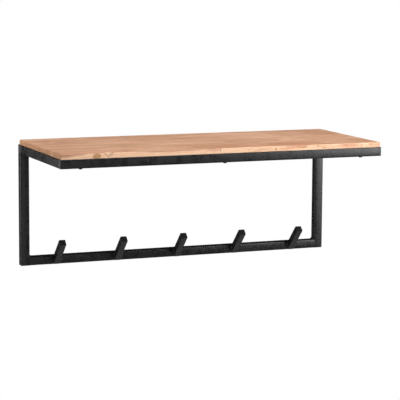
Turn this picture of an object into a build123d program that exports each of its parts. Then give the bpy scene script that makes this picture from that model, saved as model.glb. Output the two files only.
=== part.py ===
"""Wall coat rack: a shelf board of glued staves on a welded square-tube frame with five hook bars."""

import os
from math import cos, radians, sin, tan

from build123d import *

os.makedirs("parts", exist_ok=True)

# Driving dimensions, in millimetres and degrees.
# X runs along the rack, -Y points into the room and +Z is up. The wall is the plane Y = 0.
# The origin is on the wall, midway between the two wall screw holes in the rear rail.
width = 750
depth = 315
frame_height = 274
tube = 20
tube_wall = 1.5
tube_radius = 2
end_plate = 2
plate_edge_radius = 1.9
least_bore_radius = 0.4

board_thickness = 11
board_inset = 2
board_back_gap = 5.5
board_edge_radius = 0.8
stave_widths = [43.5, 91, 106, 67]

hook_count = 5
hook_pitch = 146
hook_size = 15
hook_wall = 1.5
hook_radius = 1.8
hook_angle = 45
hook_reach = 72

plug_flange = 1.5
plug_stem = 11
plug_web = 1.6
plug_clearance = 0.1
plug_rib_count = 3
plug_first_rib = 2.2
plug_rib_height = 0.5
plug_rib_thickness = 0.8
plug_chamfer = 0.5

board_screw_spacing = 328
board_screw_shank = 4
board_screw_head = 8
board_screw_head_height = 2.6
board_screw_head_round = 1.5
board_screw_depth = 8
board_screw_rear_offset = 12
board_screw_clearance = 0.25
screw_recess_length = 4.4
screw_recess_width = 1.1
screw_recess_depth = 1.5
screw_recess_taper = 8

wall_hole_spacing = 600
wall_hole_radius = 2.75

frame_weld = 5
hook_weld = 5
hook_weld_margin = 1.2
weld_face_ratio = 2.4

# Levels and planes worked out from them.
frame_top = tube / 2
frame_underside = -tube / 2
frame_bottom = frame_top - frame_height
rail_top = frame_bottom + tube
board_width = width - 2 * board_inset
side_centre = (width - tube) / 2
inner_face = width / 2 - tube
hook_positions = [hook_pitch * (n - (hook_count - 1) / 2) for n in range(hook_count)]
hook_base_height = hook_size / cos(radians(hook_angle))
board_screw_points = [
    (x, y)
    for x in (-board_screw_spacing, 0, board_screw_spacing)
    for y in (-depth + tube / 2, -board_screw_rear_offset)
]


def square_tube_profile(size, wall, radius):
    """Draw the section of a square tube with rounded corners in the current sketch."""
    RectangleRounded(size, size, radius)
    bore = size - 2 * wall
    RectangleRounded(bore, bore, max(radius - wall, least_bore_radius), mode=Mode.SUBTRACT)


def weld_section(corner, side_x, side_y, leg):
    """Draw the section of a weld bead in the current sketch: two legs from a corner and a bulging face."""
    across = (corner[0] + side_x * leg, corner[1])
    along = (corner[0], corner[1] + side_y * leg)
    with BuildLine() as outline:
        Line(across, corner)
        Line(corner, along)
        RadiusArc(along, across, side_x * side_y * weld_face_ratio * leg)
    make_face(outline.edges())


def seam_section(centre, side_x, side_y):
    """Draw the notch that a tube's rounded corner leaves beside a flush neighbour in the current sketch."""
    middle = (centre[0] + side_x * tube_radius / 2, centre[1] + side_y * tube_radius / 2)
    with Locations(middle):
        Rectangle(tube_radius, tube_radius)
    with Locations(centre):
        Circle(tube_radius, mode=Mode.SUBTRACT)


def square_plug(place, size, wall, radius):
    """Build a push-in plug: its outer face lies on the given plane and its ribbed stem follows the normal."""
    bore = size - 2 * wall - 2 * plug_clearance
    stem = bore - 2 * plug_rib_height
    with BuildPart() as plug:
        with BuildSketch(place):
            RectangleRounded(size, size, radius)
        flange = extrude(amount=plug_flange)
        outer_face = flange.faces().sort_by(Axis(place.origin, place.z_dir))[0]
        chamfer(outer_face.edges(), plug_chamfer)
        with BuildSketch(place.offset(plug_flange)):
            Rectangle(stem, stem)
            Rectangle(stem - 2 * plug_web, stem - 2 * plug_web, mode=Mode.SUBTRACT)
        extrude(amount=plug_stem)
        for rib in range(plug_rib_count):
            rib_level = plug_flange + plug_first_rib + plug_stem * rib / plug_rib_count
            with BuildSketch(place.offset(rib_level)):
                RectangleRounded(bore, bore, plug_chamfer)
                Rectangle(stem - plug_web, stem - plug_web, mode=Mode.SUBTRACT)
            extrude(amount=plug_rib_thickness)
    return plug


# Shelf board: staves glued edge to edge, lying on the top frame, back stave first.
stave_back = -board_back_gap
for number, stave_width in enumerate(stave_widths, start=1):
    stave_front = stave_back - stave_width
    with BuildPart() as stave:
        with BuildSketch(Plane.XY.offset(frame_top)):
            with Locations((0, (stave_back + stave_front) / 2)):
                Rectangle(board_width, stave_width)
        extrude(amount=board_thickness)
        eased = stave.edges().filter_by(Axis.Y)
        if number == 1:
            eased += stave.edges().filter_by(Axis.X).group_by(Axis.Y)[-1]
        if number == len(stave_widths):
            eased += stave.edges().filter_by(Axis.X).group_by(Axis.Y)[0]
        fillet(eased, board_edge_radius)
        pilot_points = [(x, y) for x, y in board_screw_points if stave_front < y < stave_back]
        if pilot_points:
            with BuildSketch(Plane.XY.offset(frame_top)):
                with Locations(*pilot_points):
                    Circle(board_screw_shank / 2)
            extrude(amount=board_screw_depth, mode=Mode.SUBTRACT)
    stave.part.label = f"board_stave_{number}"
    export_step(stave.part, f"parts/board_stave_{number}.step")
    stave_back = stave_front

# Top frame: front and rear tubes over the full width, drilled for the board screws, with steel
# plates welded over their ends and filed round, and two side tubes butted between them.
with BuildPart() as front_rail:
    with BuildSketch(Plane.YZ.offset(end_plate - width / 2)):
        with Locations((-depth + tube / 2, 0)):
            square_tube_profile(tube, tube_wall, tube_radius)
    extrude(amount=width - 2 * end_plate)
    with BuildSketch(Plane.XY.offset(frame_underside)):
        with Locations(*[(x, y) for x, y in board_screw_points if y < -depth / 2]):
            Circle(board_screw_shank / 2 + board_screw_clearance)
    extrude(amount=tube, mode=Mode.SUBTRACT)
front_rail.part.label = "front_rail"
export_step(front_rail.part, "parts/front_rail.step")

with BuildPart() as rear_rail:
    with BuildSketch(Plane.YZ.offset(end_plate - width / 2)):
        with Locations((-tube / 2, 0)):
            square_tube_profile(tube, tube_wall, tube_radius)
    extrude(amount=width - 2 * end_plate)
    with BuildSketch(Plane.XY.offset(frame_underside)):
        with Locations(*[(x, y) for x, y in board_screw_points if y > -depth / 2]):
            Circle(board_screw_shank / 2 + board_screw_clearance)
    extrude(amount=tube, mode=Mode.SUBTRACT)
    with BuildSketch(Plane.XZ):
        with Locations((-wall_hole_spacing / 2, 0), (wall_hole_spacing / 2, 0)):
            Circle(wall_hole_radius)
    extrude(amount=tube, mode=Mode.SUBTRACT)
rear_rail.part.label = "rear_rail"
export_step(rear_rail.part, "parts/rear_rail.step")

for rail_name, rail_centre in (("front", -depth + tube / 2), ("rear", -tube / 2)):
    for side, side_name in ((-1, "left"), (1, "right")):
        with BuildPart() as plate:
            with BuildSketch(Plane.YZ.offset(side * (width / 2 - end_plate))):
                with Locations((rail_centre, 0)):
                    RectangleRounded(tube, tube, tube_radius)
            extrude(amount=side * end_plate)
            fillet(plate.edges().group_by(Axis.X)[0 if side < 0 else -1], plate_edge_radius)
        plate.part.label = f"{rail_name}_rail_{side_name}_plate"
        export_step(plate.part, f"parts/{rail_name}_rail_{side_name}_plate.step")

for side, side_name in ((-1, "left"), (1, "right")):
    with BuildPart() as side_rail:
        with BuildSketch(Plane.XZ.offset(tube)):
            with Locations((side * side_centre, 0)):
                square_tube_profile(tube, tube_wall, tube_radius)
        extrude(amount=depth - 2 * tube)
    side_rail.part.label = f"{side_name}_side_rail"
    export_step(side_rail.part, f"parts/{side_name}_side_rail.step")

# Wall frame: two uprights below the rear corners, and a bottom rail butted between them.
for side, side_name in ((-1, "left"), (1, "right")):
    with BuildPart() as upright:
        with BuildSketch(Plane.XY.offset(frame_bottom + plug_flange)):
            with Locations((side * side_centre, -tube / 2)):
                square_tube_profile(tube, tube_wall, tube_radius)
        extrude(amount=frame_height - tube - plug_flange)
    upright.part.label = f"{side_name}_upright"
    export_step(upright.part, f"parts/{side_name}_upright.step")

with BuildPart() as bottom_rail:
    with BuildSketch(Plane.YZ.offset(-inner_face)):
        with Locations((-tube / 2, frame_bottom + tube / 2)):
            square_tube_profile(tube, tube_wall, tube_radius)
    extrude(amount=2 * inner_face)
bottom_rail.part.label = "bottom_rail"
export_step(bottom_rail.part, "parts/bottom_rail.step")

# Plastic plugs that close the open lower ends of the uprights.
for side, side_name in ((-1, "left"), (1, "right")):
    foot_plane = Plane(origin=(side * side_centre, -tube / 2, frame_bottom), z_dir=(0, 0, 1))
    upright_plug = square_plug(foot_plane, tube, tube_wall, tube_radius)
    upright_plug.part.label = f"{side_name}_upright_plug"
    export_step(upright_plug.part, f"parts/{side_name}_upright_plug.step")

# Hooks: lengths of smaller square tube, cut on the slant and welded to the front of the bottom
# rail, flush with its underside. Each rises forwards at hook_angle, and a plastic plug closes its
# square-cut outer end.
slope = radians(hook_angle)
hook_direction = (0, -cos(slope), sin(slope))
axis_height = frame_bottom + hook_base_height / 2
tip_distance = hook_reach - hook_size / 2 * tan(slope)
for number, hook_x in enumerate(hook_positions, start=1):
    base_plane = Plane(origin=(hook_x, -tube, axis_height), x_dir=(1, 0, 0), z_dir=hook_direction)
    with BuildPart() as hook:
        with BuildSketch(base_plane.offset(-hook_size)):
            square_tube_profile(hook_size, hook_wall, hook_radius)
        extrude(amount=hook_size + tip_distance - plug_flange)
        split(bisect_by=Plane.XZ.offset(tube), keep=Keep.TOP)
    hook.part.label = f"hook_{number}"
    export_step(hook.part, f"parts/hook_{number}.step")

    tip = base_plane.offset(tip_distance)
    tip_plane = Plane(origin=tip.origin, x_dir=(1, 0, 0), z_dir=-tip.z_dir)
    hook_plug = square_plug(tip_plane, hook_size, hook_wall, hook_radius)
    hook_plug.part.label = f"hook_{number}_plug"
    export_step(hook_plug.part, f"parts/hook_{number}_plug.step")

# Frame welds: beads in the inner corners, where the tubes meet at right angles.
with BuildPart() as frame_welds:
    for side in (-1, 1):
        for level, rise in ((rail_top, 1), (frame_underside, -1)):
            with BuildSketch(Plane.XZ.offset(tube_radius)):
                weld_section((side * inner_face, level), -side, rise, frame_weld)
            extrude(amount=tube - 2 * tube_radius)
        with BuildSketch(Plane.YZ.offset(side * side_centre)):
            weld_section((-tube, frame_underside), -1, -1, frame_weld)
        extrude(amount=tube / 2 - tube_radius, both=True)
frame_welds.part.label = "frame_welds"
export_step(frame_welds.part, "parts/frame_welds.step")

# Ground seams: weld metal filed flush, filling the notch that the rounded corner of one tube
# would leave beside the end of its neighbour.
with BuildPart() as ground_seams:
    for side in (-1, 1):
        with BuildSketch(Plane.XY.offset(frame_bottom + tube_radius)):
            for seam_y, side_y in ((-tube + tube_radius, -1), (-tube_radius, 1)):
                seam_section((side * (inner_face + tube_radius), seam_y), -side, side_y)
        extrude(amount=tube - 2 * tube_radius)
        with BuildSketch(Plane.YZ.offset(side * side_centre)):
            for seam_y, side_y in ((-depth + tube - tube_radius, 1), (-tube + tube_radius, -1)):
                seam_section((seam_y, frame_top - tube_radius), side_y, 1)
            for seam_y in (-depth + tube - tube_radius, -tube_radius):
                seam_section((seam_y, frame_underside + tube_radius), 1, -1)
        extrude(amount=tube / 2 - tube_radius, both=True)
ground_seams.part.label = "ground_seams"
export_step(ground_seams.part, "parts/ground_seams.step")

# Weld beads beside each hook, upright along the line where its sides meet the bottom rail.
with BuildPart() as hook_welds:
    for hook_x in hook_positions:
        for side in (-1, 1):
            hook_side = hook_x + side * hook_size / 2
            with BuildSketch(Plane.XY.offset(frame_bottom + hook_weld_margin)):
                weld_section((hook_side, -tube), side, -1, hook_weld)
            extrude(amount=tube - 2 * hook_weld_margin)
hook_welds.part.label = "hook_welds"
export_step(hook_welds.part, "parts/hook_welds.step")

# Pan-head screws that come up through the front and rear rails into the board.
with BuildPart() as board_screws:
    for x, y in board_screw_points:
        with BuildSketch(Plane.XY.offset(frame_underside)):
            with Locations((x, y)):
                Circle(board_screw_shank / 2)
        extrude(amount=tube + board_screw_depth)
        with BuildSketch(Plane.XY.offset(frame_underside)):
            with Locations((x, y)):
                Circle(board_screw_head / 2)
        head = extrude(amount=-board_screw_head_height)
        fillet(head.edges().sort_by(Axis.Z)[0], board_screw_head_round)
        with BuildSketch(Plane.XY.offset(frame_underside - board_screw_head_height)):
            with Locations((x, y)):
                Rectangle(screw_recess_length, screw_recess_width)
                Rectangle(screw_recess_width, screw_recess_length)
        extrude(amount=screw_recess_depth, taper=screw_recess_taper, mode=Mode.SUBTRACT)
board_screws.part.label = "board_screws"
export_step(board_screws.part, "parts/board_screws.step")
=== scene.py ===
from math import cos, pi, radians, sin

import bmesh
import bpy
from mathutils import Matrix, Vector, noise


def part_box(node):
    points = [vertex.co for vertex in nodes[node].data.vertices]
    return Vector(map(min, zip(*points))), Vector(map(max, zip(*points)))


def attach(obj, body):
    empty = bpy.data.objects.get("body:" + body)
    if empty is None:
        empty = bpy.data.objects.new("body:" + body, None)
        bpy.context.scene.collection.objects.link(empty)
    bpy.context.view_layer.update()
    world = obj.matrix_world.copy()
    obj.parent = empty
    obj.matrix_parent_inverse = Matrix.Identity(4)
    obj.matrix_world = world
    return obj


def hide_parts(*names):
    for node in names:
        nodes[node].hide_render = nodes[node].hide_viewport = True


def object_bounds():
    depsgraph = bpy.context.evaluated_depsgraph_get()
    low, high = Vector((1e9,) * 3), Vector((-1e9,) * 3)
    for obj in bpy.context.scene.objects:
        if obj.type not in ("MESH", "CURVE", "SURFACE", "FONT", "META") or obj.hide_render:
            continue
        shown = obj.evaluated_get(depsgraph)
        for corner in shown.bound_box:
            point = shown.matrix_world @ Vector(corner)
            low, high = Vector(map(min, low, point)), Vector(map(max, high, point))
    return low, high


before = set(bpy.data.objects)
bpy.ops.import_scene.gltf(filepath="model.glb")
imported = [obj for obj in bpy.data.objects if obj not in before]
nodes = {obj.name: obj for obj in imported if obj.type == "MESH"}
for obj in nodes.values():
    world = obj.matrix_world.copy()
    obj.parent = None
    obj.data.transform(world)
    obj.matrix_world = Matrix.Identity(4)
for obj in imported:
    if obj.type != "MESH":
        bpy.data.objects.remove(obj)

cad_low, cad_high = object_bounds()


# ---------------------------------------------------------------------------------------------
# Frame tubes. The real ones are 20 mm square steel tube, sawn to length, welded into a top frame
# and a wall frame, filed and sprayed with a satin black powder coat that flows out into a fine
# orange-peel skin. The hooks are lengths of 15 mm tube in the same coat.
# ---------------------------------------------------------------------------------------------
class Wire:
    """The output of a shader node. Sums on it add Math nodes, and any other node comes from node()."""

    def __init__(self, tree, socket=None):
        self.tree = tree
        self.socket = socket

    def node(self, kind, settings=None, inputs=None, output=0):
        """Add a node: its settings are set first, then the values or links of its sockets."""
        made = self.tree.nodes.new("ShaderNode" + kind)
        for name, value in (settings or {}).items():
            setattr(made, name, value)
        for name, value in (inputs or {}).items():
            if isinstance(value, Wire):
                self.tree.links.new(value.socket, made.inputs[name])
            else:
                made.inputs[name].default_value = value
        return Wire(self.tree, made.outputs[output])

    def math(self, operation, *others):
        return self.node("Math", {"operation": operation}, dict(enumerate((self, *others))))

    def __add__(self, other):
        return self.math("ADD", other)

    def __sub__(self, other):
        return self.math("SUBTRACT", other)

    def __rsub__(self, other):
        return self.node("Math", {"operation": "SUBTRACT"}, {0: other, 1: self})

    def __mul__(self, other):
        return self.math("MULTIPLY", other)

    def __truediv__(self, other):
        return self.math("DIVIDE", other)

    def __pow__(self, other):
        return self.math("POWER", other)

    def __abs__(self):
        return self.math("ABSOLUTE")

    __radd__ = __add__
    __rmul__ = __mul__

    def step(self, low, high, to_low=0.0, to_high=1.0):
        """Go smoothly from to_low to to_high as this value goes from low to high."""
        values = {"Value": self, "From Min": low, "From Max": high, "To Min": to_low, "To Max": to_high}
        return self.node("MapRange", {"interpolation_type": "SMOOTHSTEP"}, values)

    def vector(self, operation, *others, output=0):
        return self.node("VectorMath", {"operation": operation}, dict(enumerate((self, *others))), output)

    def axes(self):
        """The three coordinates of this vector."""
        split = self.node("SeparateXYZ", {}, {0: self}).socket.node
        return [Wire(self.tree, socket) for socket in split.outputs]

    def tint(self, low, high):
        """Turn this value into a colour, from low at 0 to high at 1."""
        return self.node("Mix", {"data_type": "RGBA"}, {0: self, 6: low, 7: high}, 2)

    def blend(self, factor, other, how="MIX"):
        """Mix this colour with another one by a factor."""
        return self.node("Mix", {"data_type": "RGBA", "blend_type": how}, {0: factor, 6: self, 7: other}, 2)

    def noise(self, scale, detail=2.0, rough=0.5, shift=(0, 0, 0), output="Fac"):
        """Noise on this position. Scale is in cycles per metre: one number, or one for each axis."""
        scale = scale if isinstance(scale, tuple) else (scale,) * 3
        placed = self.node("Mapping", {}, {"Vector": self, "Location": shift, "Scale": scale})
        values = {"Vector": placed, "Scale": 1.0, "Detail": detail, "Roughness": rough}
        return placed.node("TexNoise", {}, values, output)

    def bump(self, strength, distance, over=None):
        """The normal of a surface with this height, laid over the mesh's own normal or another."""
        values = {"Strength": strength, "Distance": distance, "Height": self}
        if over:
            values["Normal"] = over
        return self.node("Bump", {}, values, "Normal")


def new_finish(name):
    """Start a material, and return it with its shader, and with Object coordinates to build on."""
    material = bpy.data.materials.new(name)
    material.use_nodes = True
    shader = material.node_tree.nodes["Principled BSDF"]
    place = Wire(material.node_tree).node("TexCoord", output="Object")
    return material, shader, place


def join(wire, shader, name):
    wire.tree.links.new(wire.socket, shader.inputs[name])


def grey(level, blue=1.0):
    return (level, level, level * blue, 1)


def powder_coat(name, dark, light, rough, crown=None, filed_back=None):
    """Satin powder coat: cloudy black over an orange-peel skin, with a few dust nibs in it.

    A crown is a tube's middle and the axes across it: its walls stand a little proud along them.
    Painted shade makes the coat blacker over a tube's corners, and over edges filed back from filed_back.
    """
    material, shader, place = new_finish(name)
    clouds = place.noise(cloud_scale, 3.0)
    drag = place.noise(drag_scale, 3.0, 0.6)
    peel = place.noise(peel_scale, 2.0)
    grit = place.noise(grit_scale, 1.0)
    nibs = place.noise(nib_scale, 0.0).step(0.76, 0.82)
    colour = (clouds * 0.55 + drag * 0.45).step(0.35, 0.65).tint(dark, light)
    colour = colour.blend(nibs * 0.2, nib_dust)
    wall = None
    if crown:
        middle, across = crown
        out = place.vector("SUBTRACT", middle).vector("MULTIPLY", across)
        corner = out.vector("ABSOLUTE").vector("DOT_PRODUCT", across, output=1)
        # Painted shade: the tube's rounded corners are drawn blacker.
        colour = colour.blend(corner.step(corner_shade_start, corner_shade_end), painted_edge_shade)
        fall = out.vector("DOT_PRODUCT", out, output=1) * (-wall_crown / tube_half ** 2)
        wall = fall.bump(1.0, 1.0)
    if filed_back:
        # Painted shade: the filed-round edges are drawn blacker.
        edge = abs(place.axes()[0]).step(filed_back, filed_back - filed_fade)
        colour = colour.blend(edge, painted_edge_shade)
    join(colour, shader, "Base Color")
    join(drag.step(0.3, 0.7, rough - 0.04, rough + 0.05) + nibs * 0.08, shader, "Roughness")
    skin = peel * 0.7 + grit * 0.16 + nibs * 0.3
    join(skin.bump(skin_strength, skin_depth, wall), shader, "Normal")
    shader.inputs["IOR"].default_value = 1.5
    return material


def finish_node(name, material):
    """Give a CAD node its material."""
    mesh = nodes[name].data
    mesh.materials.clear()
    mesh.materials.append(material)


coat_dark, coat_light = grey(0.0065, 1.08), grey(0.0105, 1.1)
# The first colour here is painted shade for rounded corners and filed edges; the second is real dust in the
# coat.
painted_edge_shade, nib_dust = grey(0.0015), grey(0.06)
coat_rough = 0.29
cloud_scale, drag_scale, nib_scale = 9, 55, 240
peel_scale, grit_scale = 520, 2600
skin_strength, skin_depth = 0.13, 0.0005
corner_shade_start, corner_shade_end = 0.0176, 0.0183
wall_crown = 0.0004
tube_half = 0.01
across_x, across_y, across_z = (0, 1, 1), (1, 0, 1), (1, 1, 0)
tubes = {"front_rail": across_x, "rear_rail": across_x, "bottom_rail": across_x}
tubes |= {"left_side_rail": across_y, "right_side_rail": across_y}
tubes |= {"left_upright": across_z, "right_upright": across_z}
for tube_name, across in tubes.items():
    tube_low, tube_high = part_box(tube_name)
    crown = ((tube_low + tube_high) / 2, across)
    finish_node(tube_name, powder_coat(f"{tube_name}_coat", coat_dark, coat_light, coat_rough, crown))
tube_coat = powder_coat("tube_coat", coat_dark, coat_light, coat_rough)
for tube_name in ["ground_seams"] + [f"hook_{n}" for n in range(1, 6)]:
    finish_node(tube_name, tube_coat)


# ---------------------------------------------------------------------------------------------
# End plates. Squares of 2 mm flat bar welded over the open ends of the front and rear rails, with
# their outer edges filed round. Painted light makes their coat paler than the tube's.
# ---------------------------------------------------------------------------------------------
filed_fade = 0.0002
filed_back = cad_high.x - filed_fade / 2
# Painted light: the plates' coat is paler than the tube's. Their filed edges get painted shade from
# filed_back.
plate_lit_low, plate_lit_high = grey(0.036), grey(0.05)
end_plate_lit_coat = powder_coat("end_plate_lit_coat", plate_lit_low, plate_lit_high, 0.36, filed_back=filed_back)
for rail_name in ("front", "rear"):
    for side_name in ("left", "right"):
        finish_node(f"{rail_name}_rail_{side_name}_plate", end_plate_lit_coat)


# ---------------------------------------------------------------------------------------------
# Weld beads. Short fillet welds in the inner corners of the frame and up both sides of each
# hook, laid by hand as a row of overlapping puddles, and powder coated over with the tubes.
# ---------------------------------------------------------------------------------------------
def show_mesh(name, shape, material, sharp_angle):
    """Make a piece of the object from a bmesh. Edges that turn by more than the angle stay sharp."""
    bmesh.ops.recalc_face_normals(shape, faces=shape.faces)
    mesh = bpy.data.meshes.new(name)
    shape.to_mesh(mesh)
    shape.free()
    mesh.materials.append(material)
    mesh.polygons.foreach_set("use_smooth", [True] * len(mesh.polygons))
    mesh.set_sharp_from_angle(angle=radians(sharp_angle))
    piece = bpy.data.objects.new(name, mesh)
    bpy.context.scene.collection.objects.link(piece)
    return piece


def extrude_face(shape, face):
    """Extrude a face by nothing yet, and return its far end.

    Its edges go in with it, so that the old face isn't left behind inside the shape.
    """
    made = bmesh.ops.extrude_face_region(shape, geom=[face, *face.edges])
    return [part for part in made["geom"] if isinstance(part, bmesh.types.BMFace)][0]


def lay_bead(shape, middle, across, along, leg, length, hand):
    """Lay a bead in the corner between two faces: a bulging section, pushed on puddle by puddle.

    The hand is any number, and each one wavers differently. A puddle's rim lags behind its middle.
    """
    across, along = Vector(across), Vector(along)
    way = across.cross(along)
    start = Vector(middle) - way * length / 2
    before = len(shape.verts)
    corners = [start]
    for step in range(bead_arc_steps + 1):
        turn = step / bead_arc_steps
        swell = 1 + bead_swell * sin(pi * turn)
        corners.append(start + (across * (1 - turn) + along * turn) * leg * swell)
    face = shape.faces.new([shape.verts.new(corner) for corner in corners])
    rings = round(length / puddle_length) * rings_per_puddle
    size = 1.0
    for ring in range(rings + 1):
        share = ring / rings
        puddle = ring / rings_per_puddle
        taper = (1 - abs(2 * share - 1) ** bead_end_power) ** 0.5
        ripple = 1 - puddle_depth * (1 - abs(sin(pi * puddle)))
        waver = 1 - bead_waver * abs(noise.noise((puddle * waver_pace, hand, 0)))
        wanted = bead_end_size + (1 - bead_end_size) * taper * ripple * waver
        if ring:
            face = extrude_face(shape, face)
            bmesh.ops.translate(shape, vec=way * length / rings, verts=face.verts)
        root = Matrix.Translation(-(start + way * length * share))
        bmesh.ops.scale(shape, vec=(wanted / size,) * 3, space=root, verts=face.verts)
        size = wanted
    shape.verts.ensure_lookup_table()
    for corner in shape.verts[before:]:
        out, up = (corner.co - start).dot(across), (corner.co - start).dot(along)
        if out + up > bead_root * leg:
            corner.co += way * puddle_lag * 4 * out * up / (out + up) ** 2


bead_arc_steps = 10
bead_swell = 0.14
bead_end_power = 4
bead_end_size = 0.3
bead_root = 0.2
bead_waver, waver_pace = 0.35, 0.7
puddle_length = 0.0024
puddle_depth = 0.17
puddle_lag = 0.0012
rings_per_puddle = 7
bead_short = 0.002

# Painted highlight: the beads' coat is paler than the tube coat, so the beads read lighter.
bead_lit_low, bead_lit_high = grey(0.012, 1.05), grey(0.02, 1.05)
bead_highlight_coat = powder_coat("bead_highlight_coat", bead_lit_low, bead_lit_high, 0.33)
left_post, right_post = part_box("left_upright"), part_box("right_upright")
rail_low, rail_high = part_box("bottom_rail")
rear_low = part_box("rear_rail")[0]
tube_middle = (rail_low.y + rail_high.y) / 2
frame_leg = rear_low.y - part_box("frame_welds")[0].y
frame_bead_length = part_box("frame_welds")[1].y - rear_low.y - bead_short
frame_beads = bmesh.new()
for post_face, side in ((left_post[1].x, 1), (right_post[0].x, -1)):
    for level, rise in ((rail_high.z, 1), (rear_low.z, -1)):
        corner = (post_face, tube_middle, level)
        lay_bead(frame_beads, corner, (side, 0, 0), (0, 0, rise),
                 frame_leg, frame_bead_length, side + level)
for post_low, post_high in (left_post, right_post):
    corner = ((post_low.x + post_high.x) / 2, post_low.y, rear_low.z)
    lay_bead(frame_beads, corner, (0, -1, 0), (0, 0, -1),
             frame_leg, frame_bead_length, corner[0])
frame_bead_piece = show_mesh("frame_beads", frame_beads, bead_highlight_coat, 50)
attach(frame_bead_piece, "root")
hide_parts("frame_welds")

weld_low, weld_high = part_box("hook_welds")
hook_leg = weld_high.y - weld_low.y
hook_bead_length = weld_high.z - weld_low.z - 2 * puddle_lag
hook_beads = bmesh.new()
for number in range(1, 6):
    hook_low, hook_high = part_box(f"hook_{number}")
    for hook_side, side in ((hook_low.x, -1), (hook_high.x, 1)):
        corner = (hook_side, rail_low.y, (weld_low.z + weld_high.z) / 2)
        lay_bead(hook_beads, corner, (side, 0, 0), (0, -1, 0),
                 hook_leg, hook_bead_length, number + side / 3)
hook_bead_piece = show_mesh("hook_beads", hook_beads, bead_highlight_coat, 50)
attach(hook_bead_piece, "root")
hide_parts("hook_welds")


# ---------------------------------------------------------------------------------------------
# Plugs. Black moulded plastic plugs close the outer ends of the hooks and the feet of the
# uprights: a flange the size of the tube with a sunk panel, and a hollow stem with three barbs
# that grips the inside of the tube.
# ---------------------------------------------------------------------------------------------
def moulded_plastic():
    """Black polyethylene with the fine spark texture of its mould and a little scuffing."""
    material, shader, place = new_finish("plug_plastic")
    spark = place.noise(spark_scale, 2.0)
    scuff = place.noise(scuff_scale, 3.0, 0.6)
    join(scuff.step(0.4, 0.75).tint(plastic_dark, plastic_scuffed), shader, "Base Color")
    join(scuff.step(0.35, 0.7, 0.56, 0.68), shader, "Roughness")
    join(spark.bump(0.2, spark_depth), shader, "Normal")
    shader.inputs["Specular IOR Level"].default_value = 0.35
    return material


def push_on(shape, face, distance, size):
    """Extrude a face outwards and make its far end larger or smaller."""
    way = face.normal.copy()
    face = extrude_face(shape, face)
    bmesh.ops.translate(shape, vec=way * distance, verts=face.verts)
    middle = Matrix.Translation(-face.calc_center_median())
    bmesh.ops.scale(shape, vec=(size,) * 3, space=middle, verts=face.verts)
    shape.normal_update()
    return face


def add_plug(name, node, centre, turn, size, corner_radius):
    """Build a plug with its outer face down, then turn it and bring its face to the centre given."""
    bore = size - 2 * tube_wall - 2 * plug_clearance
    stem = bore - 2 * barb_height
    shape = bmesh.new()
    bmesh.ops.create_cube(shape, size=1)
    bmesh.ops.scale(shape, vec=(size, size, flange_thickness), verts=shape.verts)
    bmesh.ops.translate(shape, vec=(0, 0, flange_thickness / 2), verts=shape.verts)
    corner_edges = [e for e in shape.edges if e.verts[0].co.z != e.verts[1].co.z]
    bmesh.ops.bevel(shape, geom=corner_edges, offset=corner_radius, affect="EDGES",
                    segments=5, profile=0.5, material=-1)
    shape.normal_update()
    outer = [f for f in shape.faces if f.normal.z < -0.9][0]
    bmesh.ops.bevel(shape, geom=list(outer.edges), offset=flange_ease, affect="EDGES",
                    segments=3, profile=0.5, material=-1)
    shape.normal_update()
    outer = max((f for f in shape.faces if f.normal.z < -0.9), key=lambda f: f.calc_area())
    outer = push_on(shape, outer, 0, 1 - 2 * panel_rim / size)
    bmesh.ops.inset_region(shape, faces=[outer], thickness=panel_sink, depth=-panel_sink)
    shape.normal_update()
    inner = max((f for f in shape.faces if f.normal.z > 0.9), key=lambda f: f.calc_area())
    inner = push_on(shape, inner, 0, stem / size)
    inner = push_on(shape, inner, first_barb, 1)
    for barb in range(barb_count):
        inner = push_on(shape, inner, barb_length * barb_step, bore / stem)
        inner = push_on(shape, inner, barb_length * barb_land, 1)
        inner = push_on(shape, inner, barb_length * barb_slope, stem / bore)
        inner = push_on(shape, inner, (stem_length - first_barb) / barb_count - barb_length, 1)
    inner = push_on(shape, inner, 0, 1 - 2 * stem_web / stem)
    push_on(shape, inner, -(stem_length - stem_web), 1)
    place = Matrix.Translation(centre) @ turn
    bmesh.ops.transform(shape, matrix=place, verts=shape.verts)
    plug = show_mesh(name, shape, plug_plastic, 35)
    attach(plug, "root")
    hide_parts(node)


tube_wall = 0.0015
flange_thickness = 0.0015
flange_ease = 0.0005
panel_rim = 0.0016
panel_sink = 0.0003
plug_clearance = 0.0001
stem_length = 0.011
stem_web = 0.0016
first_barb = 0.0016
barb_count = 3
barb_height = 0.0005
barb_length = 0.002
barb_step, barb_land, barb_slope = 0.15, 0.25, 0.6
foot_plug_radius, hook_plug_radius = 0.002, 0.0018
hook_rise = radians(45)
spark_scale, spark_depth = 1500, 0.0003
scuff_scale = 140
plastic_dark, plastic_scuffed = grey(0.004), grey(0.008)

plug_plastic = moulded_plastic()
for side_name in ("left", "right"):
    node = f"{side_name}_upright_plug"
    plug_low, plug_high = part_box(node)
    foot = Vector(((plug_low.x + plug_high.x) / 2, (plug_low.y + plug_high.y) / 2, plug_low.z))
    foot_size = plug_high.x - plug_low.x
    add_plug(f"{side_name}_foot_plug", node, foot, Matrix.Identity(4), foot_size, foot_plug_radius)
for number in range(1, 6):
    node = f"hook_{number}_plug"
    plug_low, plug_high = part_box(node)
    hook_size = plug_high.x - plug_low.x
    reach = hook_size / 2 - flange_ease
    tip_y = plug_low.y + reach * sin(hook_rise)
    tip_z = plug_high.z - reach * cos(hook_rise)
    tip = Vector(((plug_low.x + plug_high.x) / 2, tip_y, tip_z))
    facing_out = Matrix.Rotation(-pi / 2 - hook_rise, 4, "X")
    add_plug(f"hook_{number}_end_plug", node, tip, facing_out, hook_size, hook_plug_radius)


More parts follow.
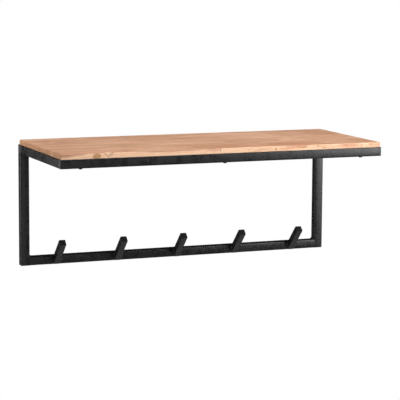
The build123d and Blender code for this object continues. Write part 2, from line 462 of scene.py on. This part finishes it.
# ---------------------------------------------------------------------------------------------
# Shelf board. Four staves of acacia, planed to 11 mm and glued edge to edge, with matt lacquer.
# Its arrises are only eased with a sanding block, and the saw has torn the upper edge of the left
# end. Sapwood, knots and small marks show along the front edge.
# ---------------------------------------------------------------------------------------------
def shade(red, green, blue):
    """A colour from its screen values, 0 to 255."""
    return (*[((v / 255 + 0.055) / 1.055) ** 2.4 for v in (red, green, blue)], 1)


def acacia(number, pith, lean, ring, tone_and_sheen, sap, knots, flecks):
    """Solid timber: rings about a leaning pith, fibres and pores along X, sapwood, and knots."""
    material, shader, place = new_finish(f"acacia_{number}")
    shift = (number * 3.7, number * 1.9, number * 2.3)
    sway = place.noise(sway_scale, 2.0, 0.5, shift, "Color").vector("SUBTRACT", (0.5, 0.5, 0.5))
    shiver = place.noise(shiver_scale, 2.0, 0.5, shift, "Color").vector("SUBTRACT", (0.5, 0.5, 0.5))
    grown = place.vector("ADD", sway.vector("MULTIPLY", (0, sway_reach, sway_reach)))
    grown = grown.vector("ADD", shiver.vector("MULTIPLY", (0, shiver_reach, shiver_reach)))
    x, y, z = grown.axes()
    across = y - (x * lean[0] + pith[0])
    rise = z - (x * lean[1] + pith[1])
    radius = (across * across + rise * rise) ** 0.5
    ragged = (shiver.axes()[0] + shiver.axes()[1]) * 0.9

    def away_from(centre, size):
        """How far a point is from a mark in the wood, whose ragged rim lies at about 1."""
        return place.vector("SUBTRACT", centre).vector("DIVIDE", size).vector("LENGTH", output=1) + ragged

    knot_marks = []
    for centre, size, core, rim in knots:
        away = away_from(centre, size)
        radius = radius + away.step(2.6, 0.9) * ring * knot_pull
        knot_marks.append((away, core, rim))
    count = radius / ring
    phase = count.math("FRACT")
    whole = count.math("FLOOR")
    vary = whole.node("TexWhiteNoise", {"noise_dimensions": "1D"}, {"W": whole}, "Value")
    late = phase.step(0.35, 0.92) * (1 - phase.step(0.94, 1.0)) * (vary * 0.8 + 0.2)

    along = radius.node("CombineXYZ", {}, {"X": place.axes()[0], "Y": radius})
    bands = along.noise(band_scale, 3.0, 0.55, shift)
    drift = along.noise(drift_scale, 3.0, 0.6, (shift[1], shift[2], shift[0]))
    flames = along.noise(flame_scale, 4.0, 0.65, (shift[2], shift[0], shift[1]))
    veins = along.noise(vein_scale, 2.0, 0.6, shift)
    fibre = place.noise(fibre_scale, 3.0, 0.6, shift)
    pores = place.noise(pore_scale, 1.0, 0.5, shift).step(0.58, 0.66)
    colour = bands.step(0.36, 0.64).tint(heart, dusk)
    colour = colour.blend(drift.step(0.48, 0.66) * 0.8, pale)
    colour = colour.blend(late * 0.55, dusk)
    colour = colour.blend(veins.step(0.52, 0.7) * 0.4, flame)
    colour = colour.blend(flames.step(0.55, 0.68) * 0.6, flame)
    # Multiply by the stave's tone, which partly holds painted sheen.
    colour = colour.blend(1.0, shade(*tone_and_sheen), "MULTIPLY")

    place_x, place_y, place_z = place.axes()
    stain = place.noise(stain_scale, 3.0, 0.6, shift) + place_x * stain_growth
    sap_colour = stain.step(0.46, 0.68).tint(sapwood, sap_stain)
    wander = place.noise(wander_scale, 3.0, 0.55, shift) - 0.5
    inboard = (place_x + board_half).math("MINIMUM", sap_settles)
    for sap_y, sap_z, slant, drawn_in in sap:
        depth = (place_y - sap_y) * cos(slant) + (place_z - sap_z) * sin(slant) + wander * sap_wander
        depth = depth - inboard * drawn_in
        rind = depth.step(-0.004, -0.001) * (1 - depth.step(-0.001, 0.001)) * drift.step(0.35, 0.55)
        colour = colour.blend(depth.step(-0.001, 0.0015), sap_colour)
        colour = colour.blend(rind * 0.4, flame)
    for away, core, rim in knot_marks:
        inside = away.step(1.25, 0.7)
        bull = (away * 3).math("FRACT").step(0.5, 0.95)
        colour = colour.blend(inside * 0.85, shade(*core))
        colour = colour.blend(inside * bull * 0.3, shade(*rim))
        colour = colour.blend(away.step(0.6, 0.97) * (1 - away.step(1.0, 1.5)) * 0.45, shade(*rim))
    for centre, size, tone in flecks:
        colour = colour.blend(away_from(centre, size).step(1.2, 0.6) * 0.8, shade(*tone))

    facing = place.node("TexCoord", output="Normal").axes()[0]
    end = abs(facing).step(0.3, 0.6)
    # End grain: rings and pores, paled towards the pale tone as painted light on the end faces, then
    # tinted.
    lit_end_grain = colour.blend(0.35, pale).blend(late * 0.4 + pores * 0.2, grey(0.45), "MULTIPLY")
    colour = colour.blend(end, lit_end_grain.blend(1.0, end_grain_tint_and_light, "MULTIPLY"))
    colour = colour.blend(fibre.step(0.62, 0.35) * 0.35 + pores * 0.3, dusk, "MULTIPLY")
    join(colour, shader, "Base Color")
    join(fibre.step(0.3, 0.7, 0.5, 0.62) + end * 0.12, shader, "Roughness")
    relief = fibre * 0.6 - pores * 0.5 - late * 0.2
    join(relief.bump(0.3, relief_depth), shader, "Normal")
    shader.inputs["Specular IOR Level"].default_value = 0.35
    return material


def cut_stave(number, outer_back, outer_front):
    """Cut one stave: ease its outer edges, leave a hair's groove at its glue joints, and wear it."""
    low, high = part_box(f"board_stave_{number}")
    shape = bmesh.new()
    bmesh.ops.create_cube(shape, size=1)
    bmesh.ops.scale(shape, vec=high - low, verts=shape.verts)
    bmesh.ops.translate(shape, vec=(low + high) / 2, verts=shape.verts)

    def runs(edge, axis):
        a, b = edge.verts[0].co, edge.verts[1].co
        return abs(a[axis] - b[axis]) > (high - low)[axis] * 0.5

    def eased(edge):
        if runs(edge, 1):
            return True
        at_back = edge.verts[0].co.y > (low.y + high.y) / 2
        return outer_back if at_back else outer_front

    def under(edge):
        return max(corner.co.z for corner in edge.verts) < (low.z + high.z) / 2

    glue_edges = [e for e in shape.edges if not eased(e) and runs(e, 0)]
    lower_edges = [e for e in shape.edges if eased(e) and under(e)]
    outer_edges = [e for e in shape.edges if eased(e) and not under(e)]
    bmesh.ops.bevel(shape, geom=outer_edges, offset=arris, affect="EDGES",
                    segments=3, profile=0.5, material=-1, clamp_overlap=True)
    lower_edges = [e for e in lower_edges if e.is_valid]
    bmesh.ops.bevel(shape, geom=lower_edges, offset=lower_arris, affect="EDGES",
                    segments=2, profile=0.5, material=-1, clamp_overlap=True)
    glue_edges = [e for e in glue_edges if e.is_valid]
    if glue_edges:
        bmesh.ops.bevel(shape, geom=glue_edges, offset=glue_groove, affect="EDGES",
                        segments=1, profile=0.5, material=-1, clamp_overlap=True)
    for axis, cuts in ((0, lengthwise_cuts), (1, round((high.y - low.y) / crosswise_step)), (2, 3)):
        long_edges = [e for e in shape.edges if runs(e, axis)]
        bmesh.ops.subdivide_edges(shape, edges=long_edges, cuts=cuts, use_grid_fill=True)
    for corner in shape.verts:
        wear_point(corner, low, high, outer_front)
    return shape


def wear_point(corner, low, high, outer_front):
    """Move one point of a stave inwards where its edges are rubbed, torn, planed hollow or chipped.

    The fixed numbers among the noises' coordinates only keep them apart.
    """
    at = corner.co.copy()
    near_top = max(0, 1 - (high.z - at.z) / tear_size)
    near_left = max(0, 1 - (at.x - low.x) / tear_size)
    near_end = max(near_left, max(0, 1 - (high.x - at.x) / tear_size))
    splinter = 0.5 * noise.noise((at.y * splinter_pace, 9.4, 0))
    tear = max(0, noise.noise((at.y * tear_pace, 3.1, 0)) + splinter + tear_bias)
    depth = tear_size * tear * near_top * near_left
    corner.co += Vector((depth, 0, -depth))
    rub = wear_size * (0.5 + 0.5 * noise.noise((at.x * rub_pace, at.y * rub_pace, at.z * rub_pace)))
    corner.co.z -= rub * near_top * near_end
    if outer_front and at.y < low.y + tear_size:
        planed = 0.5 + 0.5 * noise.noise((at.x * plane_pace, 0.5, at.z * plane_pace_up))
        chip = max(0, noise.noise((at.x * chip_pace, 5.2, 0)) - chip_rarity)
        corner.co.y += wear_size * planed + tear_size * 0.5 * chip * near_top
        corner.co.z -= tear_size * 0.4 * chip * near_top


arris = 0.0009
lower_arris = 0.0003
glue_groove = 0.00012
lengthwise_cuts = 240
crosswise_step = 0.003
tear_size, tear_bias = 0.0022, 0.12
tear_pace, splinter_pace = 160, 520
wear_size, rub_pace = 0.00035, 60
plane_pace, plane_pace_up = 22, 40
chip_pace, chip_rarity = 130, 0.25

sway_scale, sway_reach = (2.6, 11, 11), 0.036
shiver_scale, shiver_reach = (14, 80, 80), 0.004
band_scale, drift_scale = (3.2, 52, 1), (6, 95, 1)
flame_scale, vein_scale = (8, 120, 1), (14, 420, 1)
fibre_scale, pore_scale = (22, 1000, 1000), (85, 1300, 1300)
relief_depth = 0.0004
knot_pull = 1.3
stain_scale, stain_growth = (24, 90, 170), 0.32
wander_scale = (7, 30, 30)
heart, dusk, pale = shade(220, 177, 149), shade(200, 156, 127), shade(235, 196, 169)
flame = shade(170, 118, 90)
# The end grain tint is raised close to white, partly as painted light.
end_grain_tint_and_light = shade(255, 236, 208)
sapwood, sap_stain = shade(250, 209, 173), shade(228, 176, 142)
sap_wander = 0.014
sap_settles = 0.08

board_low, board_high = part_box("board_stave_4")[0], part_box("board_stave_1")[1]
board_half = board_high.x
edge_y = board_low.y
joint_2, joint_3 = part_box("board_stave_3")[1].y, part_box("board_stave_4")[1].y
# Each knot is its centre and size, and the colours of its core and rim.
edge_knots = [
    ((-0.294, edge_y, 0.0150), (0.0075, 0.010, 0.0052), (200, 152, 100), (160, 110, 66)),
    ((-0.268, edge_y, 0.0200), (0.0085, 0.014, 0.0050), (248, 214, 180), (190, 140, 100)),
    ((0.180, edge_y, 0.0175), (0.0120, 0.014, 0.0034), (222, 162, 126), (196, 130, 96)),
]
dark_speck, brown_mark, cream_mark = (118, 76, 54), (190, 128, 90), (255, 232, 208)
# Each fleck is its centre, size and colour.
edge_flecks = [
    ((-0.274, edge_y, 0.0195), (0.0012, 0.004, 0.0014), brown_mark),
    ((-0.264, edge_y, 0.0180), (0.0014, 0.004, 0.0012), dark_speck),
    ((-0.259, edge_y, 0.0205), (0.0012, 0.006, 0.0010), brown_mark),
    ((-0.268, edge_y, 0.0130), (0.0022, 0.004, 0.0012), brown_mark),
    ((-0.124, edge_y, 0.0185), (0.0070, 0.008, 0.0020), (226, 166, 136)),
    ((-0.013, edge_y, 0.0160), (0.0012, 0.005, 0.0050), brown_mark),
    ((-0.010, edge_y, 0.0160), (0.0014, 0.005, 0.0060), cream_mark),
    ((0.053, edge_y, 0.0150), (0.0009, 0.004, 0.0030), brown_mark),
    ((0.058, edge_y, 0.0185), (0.0013, 0.004, 0.0013), dark_speck),
    ((0.118, edge_y, 0.0150), (0.0022, 0.004, 0.0030), brown_mark),
    ((0.219, edge_y, 0.0170), (0.0016, 0.004, 0.0034), brown_mark),
    ((0.235, edge_y, 0.0135), (0.0060, 0.008, 0.0014), brown_mark),
    ((0.286, edge_y, 0.0180), (0.0050, 0.008, 0.0013), brown_mark),
    ((0.291, edge_y, 0.0160), (0.0032, 0.008, 0.0011), brown_mark),
    ((0.327, edge_y, 0.0165), (0.0030, 0.006, 0.0016), brown_mark),
    ((0.350, edge_y, 0.0175), (0.0070, 0.008, 0.0014), brown_mark),
]
# Each stave's colour multiplier is partly its own tone and partly painted sheen, lighter on the back staves
# than on the front ones.
grain = {
    1: dict(pith=(-0.010, -0.045), lean=(0.02, 0.03), ring=0.0060, tone_and_sheen=(255, 254, 250)),
    2: dict(pith=(-0.100, -0.060), lean=(0.01, -0.04), ring=0.0075, tone_and_sheen=(253, 250, 247)),
    3: dict(pith=(-0.190, 0.075), lean=(-0.02, 0.05), ring=0.0065, tone_and_sheen=(251, 248, 243)),
    4: dict(pith=(-0.275, -0.050), lean=(0.03, 0.035), ring=0.0070, tone_and_sheen=(251, 244, 237)),
}
# Where sapwood starts: a point (Y, Z), the way it lies from there, and how far it draws in inboard.
sap_edges = {
    1: [],
    2: [],
    3: [(joint_2 - 0.006, 0.015, radians(20), 0.03), (joint_3 + 0.004, 0.012, radians(-120), 0.01)],
    4: [(edge_y, 0.0195, radians(-145), -0.02), (joint_3 - 0.006, 0.015, radians(-25), 0.04)],
}
for number, cut in grain.items():
    front = number == 4
    wood = acacia(number, sap=sap_edges[number], knots=edge_knots if front else [],
                  flecks=edge_flecks if front else [], **cut)
    stave_shape = cut_stave(number, outer_back=number == 1, outer_front=front)
    stave = show_mesh(f"stave_{number}", stave_shape, wood, 14)
    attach(stave, "root")
    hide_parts(f"board_stave_{number}")


# ---------------------------------------------------------------------------------------------
# Board screws. Six pan-head screws in black zinc come up through the front and rear rails and
# hold the board down. Only their heads show, under the rails.
# ---------------------------------------------------------------------------------------------
def black_zinc():
    """Black passivated zinc: dark, faintly bluish metal with rubbed high spots."""
    material, shader, place = new_finish("black_zinc")
    rub = place.noise(rub_scale, 3.0, 0.6)
    join(rub.step(0.45, 0.7).tint(zinc_dark, zinc_rubbed), shader, "Base Color")
    join(rub.step(0.3, 0.7, 0.32, 0.5), shader, "Roughness")
    shader.inputs["Metallic"].default_value = 0.8
    return material


rub_scale = 700
zinc_dark, zinc_rubbed = (0.02, 0.021, 0.024, 1), (0.09, 0.092, 0.1, 1)
finish_node("board_screws", black_zinc())


# ---------------------------------------------------------------------------------------------
# Stage: a plain pale floor and surround, and six soft boxes: above, at the right, in front above,
# in front below, at the left and behind below. A long lens looks from the left, above the shelf.
# ---------------------------------------------------------------------------------------------
scene = bpy.context.scene
scene.view_settings.view_transform = "Standard"
paper_white = grey(1.0)
surround_light = grey(0.024)

world = bpy.data.worlds.new("studio")
world.use_nodes = True
scene.world = world
backdrop = world.node_tree.nodes["Background"]
seen = Wire(world.node_tree).node("LightPath", output="Is Camera Ray")
surround = seen.tint(surround_light, paper_white)
world.node_tree.links.new(surround.socket, backdrop.inputs["Color"])

floor_level = -1.7
floor_reach = 30
floor_paint = grey(0.52)
floor_shape = bmesh.new()
bmesh.ops.create_grid(floor_shape, x_segments=2, y_segments=2, size=floor_reach)
bmesh.ops.translate(floor_shape, vec=(0, 0, floor_level), verts=floor_shape.verts)
floor_finish = bpy.data.materials.new("floor_paint")
floor_finish.use_nodes = True
floor_tree = floor_finish.node_tree
seen = Wire(floor_tree).node("LightPath", output="Is Camera Ray")
glow = seen.node("Emission", {}, {"Color": paper_white})
paint = seen.node("BsdfDiffuse", {}, {"Color": floor_paint})
both = seen.node("MixShader", {}, {0: seen, 1: paint, 2: glow})
under = seen.node("NewGeometry", output="Backfacing")
both = under.node("MixShader", {}, {0: under, 1: both, 2: under.node("BsdfTransparent")})
floor_tree.links.new(both.socket, floor_tree.nodes["Material Output"].inputs["Surface"])
floor_mesh = bpy.data.meshes.new("floor")
floor_shape.to_mesh(floor_mesh)
floor_shape.free()
floor_mesh.materials.append(floor_finish)
floor = bpy.data.objects.new("floor", floor_mesh)
scene.collection.objects.link(floor)


def soft_box(name, place, aim, wide, high, radiance):
    """A rectangular lamp that faces a point. Its power gives it the same brightness at any size."""
    lamp = bpy.data.lights.new(name, "AREA")
    lamp.shape = "RECTANGLE"
    lamp.size = wide
    lamp.size_y = high
    lamp.energy = radiance * pi * wide * high
    box = bpy.data.objects.new(name, lamp)
    box.location = place
    box.rotation_euler = (Vector(aim) - Vector(place)).to_track_quat("-Z", "Y").to_euler()
    scene.collection.objects.link(box)


soft_box("top_box", (0.0, -0.5, 1.7), (0, -0.2, 0), 1.8, 1.2, 4.3)
soft_box("key_box", (1.65, -1.55, 0.45), (0, -0.3, 0.0), 1.6, 1.6, 7.6)
soft_box("front_box", (-0.9, -2.9, 1.7), (0, -0.2, 0), 1.4, 0.9, 4.0)
soft_box("low_box", (0.0, -3.4, -0.6), (0, 0, -0.1), 0.9, 0.9, 1.3)
soft_box("left_box", (-1.7, 0.75, 0.15), (0, -0.2, -0.05), 1.5, 1.6, 2.9)
soft_box("back_box", (0.9, 2.3, -0.8), (0, 0, -0.1), 1.8, 0.8, 2.5)

camera_data = bpy.data.cameras.new("camera")
camera_data.sensor_width = 36
camera_data.lens = 160.1
camera = bpy.data.objects.new("camera", camera_data)
lens_place = (-1.4821, -3.8272, 0.4525)
yaw, pitch, roll = 0.38435, 0.14191, 0.00639
forward = Vector((sin(yaw) * cos(pitch), cos(yaw) * cos(pitch), -sin(pitch)))
sideways = Vector((cos(yaw), -sin(yaw), 0))
upward = sideways.cross(forward)
right = sideways * cos(roll) + upward * sin(roll)
turn = Matrix((right, right.cross(forward), -forward)).transposed().to_4x4()
camera.matrix_world = Matrix.Translation(lens_place) @ turn
scene.collection.objects.link(camera)
scene.camera = camera
